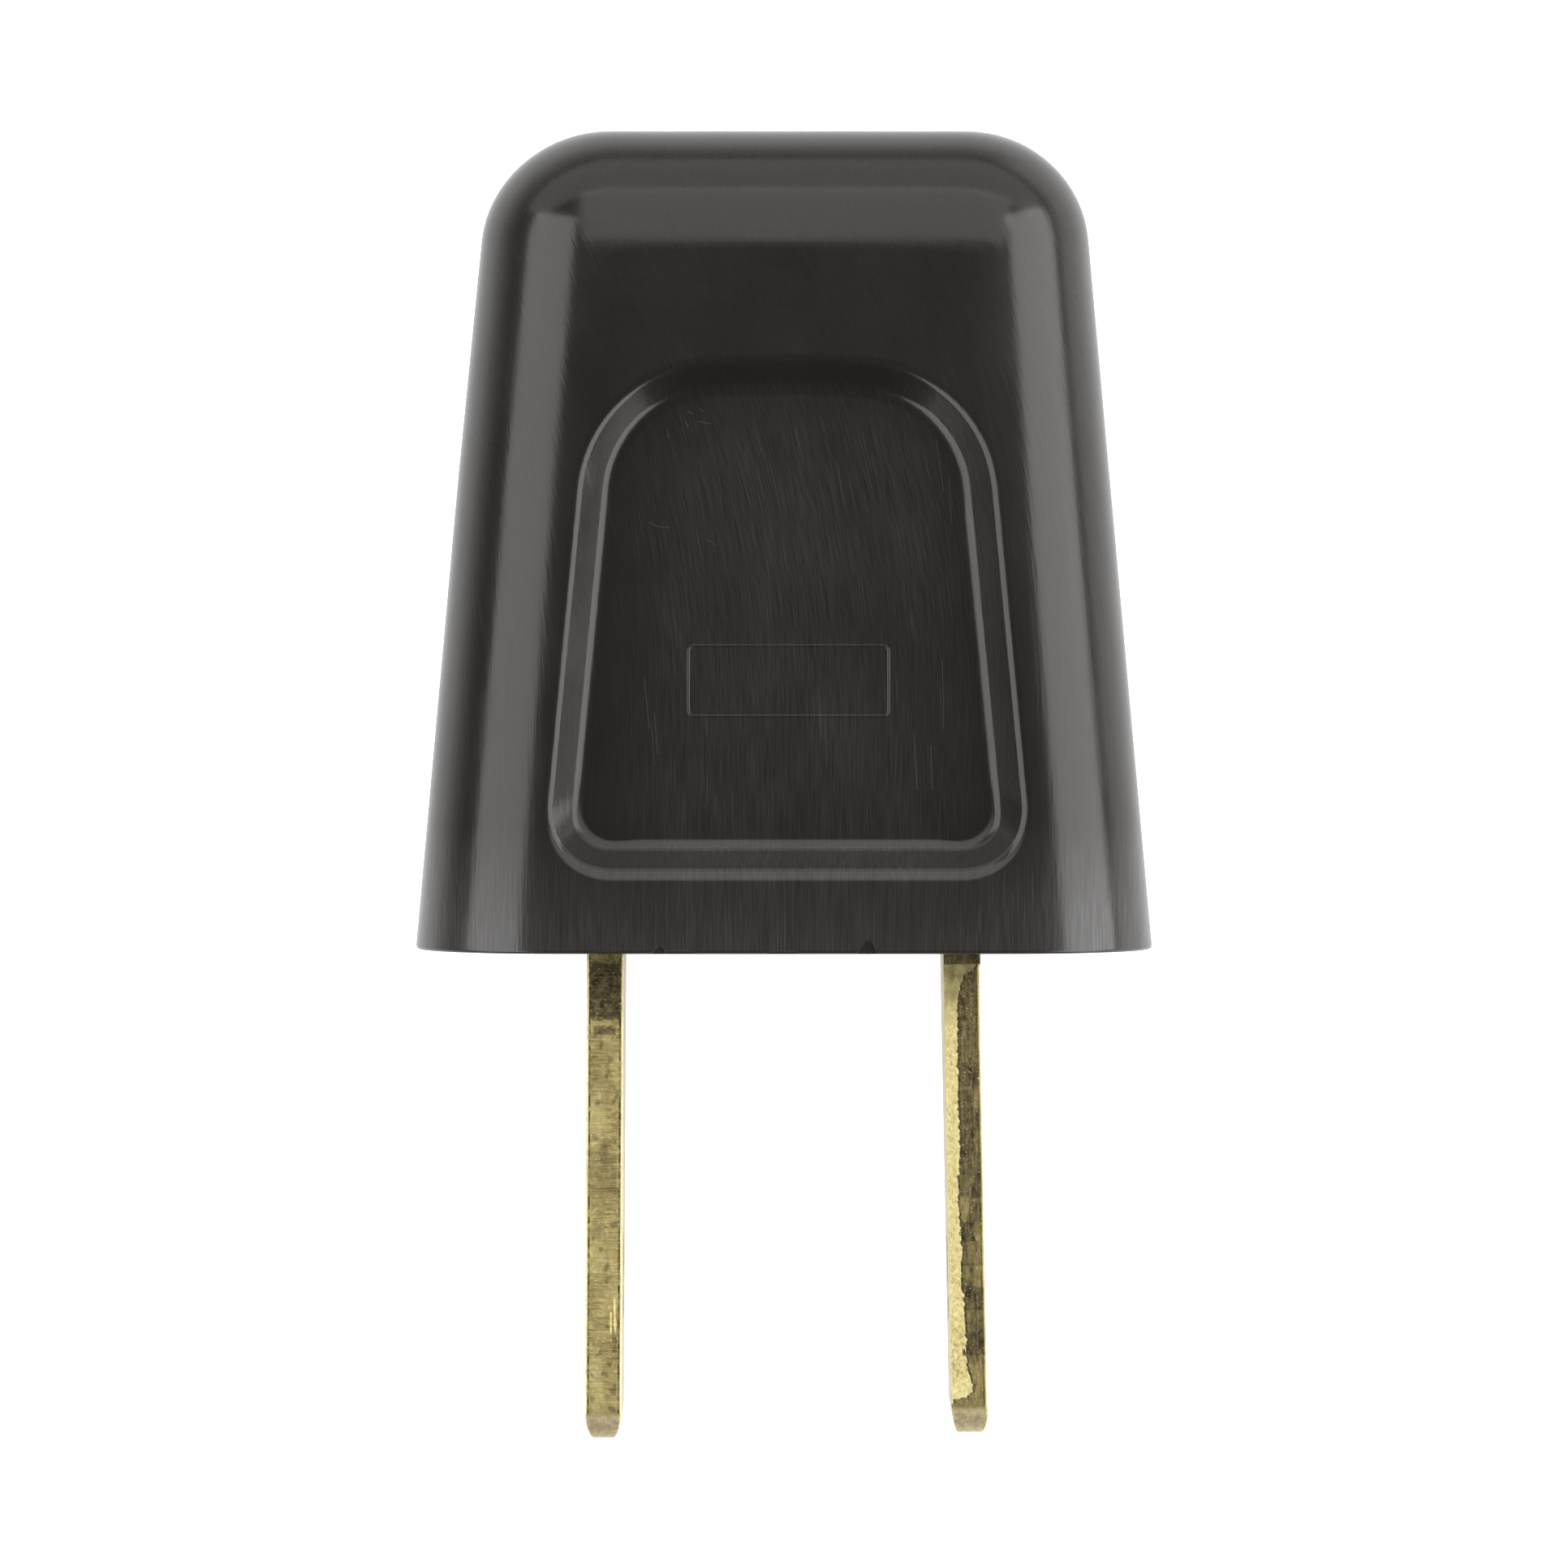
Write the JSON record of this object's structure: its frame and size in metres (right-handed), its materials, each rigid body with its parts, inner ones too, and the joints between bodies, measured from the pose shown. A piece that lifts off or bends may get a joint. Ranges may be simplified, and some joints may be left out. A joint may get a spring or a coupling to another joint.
{
  "type": "straight blade plug",
  "caption": "Flat-cord plug with a tapered brown plastic shell, a thumb recess and straight brass blades on a core that pulls out of the shell.",
  "frame": {"origin": "centre of the shell's rim plane, on the plug's long axis", "axes": "+Y towards the cord end, so the blades point along -Y; +Z out of the front broad face; narrow blade on the -X side; the plug lies on its back face"},
  "size_m": [0.0264, 0.0469, 0.0136],
  "materials": {
    "shell_plastic": "glossy moulded, fine handling scratches",
    "core_plastic": "satin moulded",
    "blade_brass": "sheared and tarnished brass strip"
  },
  "bodies": {
    "shell": {"shell": "shell_plastic"},
    "core": {"core": "core_plastic", "narrow_blade": "blade_brass", "wide_blade": "blade_brass"}
  },
  "joints": [
    {"name": "core_pull", "type": "slide", "parent": "shell", "child": "core", "axis": [0, -1, 0], "range_m": [0, 0.024]}
  ]
}
